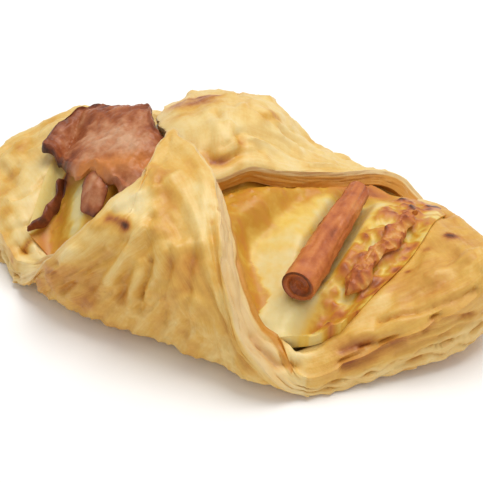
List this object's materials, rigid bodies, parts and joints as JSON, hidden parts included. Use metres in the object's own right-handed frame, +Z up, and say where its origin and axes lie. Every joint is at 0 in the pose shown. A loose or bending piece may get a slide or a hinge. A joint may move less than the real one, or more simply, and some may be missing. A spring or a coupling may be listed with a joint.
{
  "type": "bacon and cheese turnover",
  "caption": "Folded puff-pastry turnover with two corners lapped over a bacon and cheese filling that shows at both ends.",
  "frame": {"origin": "middle of the bounding box, at the level of the underside that rests on the table", "axes": "+X from the left uncovered point to the right one, along the greatest length; +Y from the front fold to the back fold; +Z up"},
  "size_m": [0.1418, 0.0834, 0.0381],
  "materials": {
    "pastry": "baked, with a thin egg glaze",
    "cheese_filling": "melted, satin",
    "bacon_slice": "roasted, slightly greasy",
    "bacon_curl": "roasted",
    "bacon_edge": "crisp and dark",
    "bacon_roll": "roasted",
    "bacon_strip": "browned"
  },
  "bodies": {
    "root": {"pastry": "pastry", "cheese_filling": "cheese_filling", "bacon_slice": "bacon_slice", "bacon_curl": "bacon_curl", "bacon_edge": "bacon_edge", "bacon_roll": "bacon_roll", "bacon_strip": "bacon_strip"}
  },
  "joints": []
}
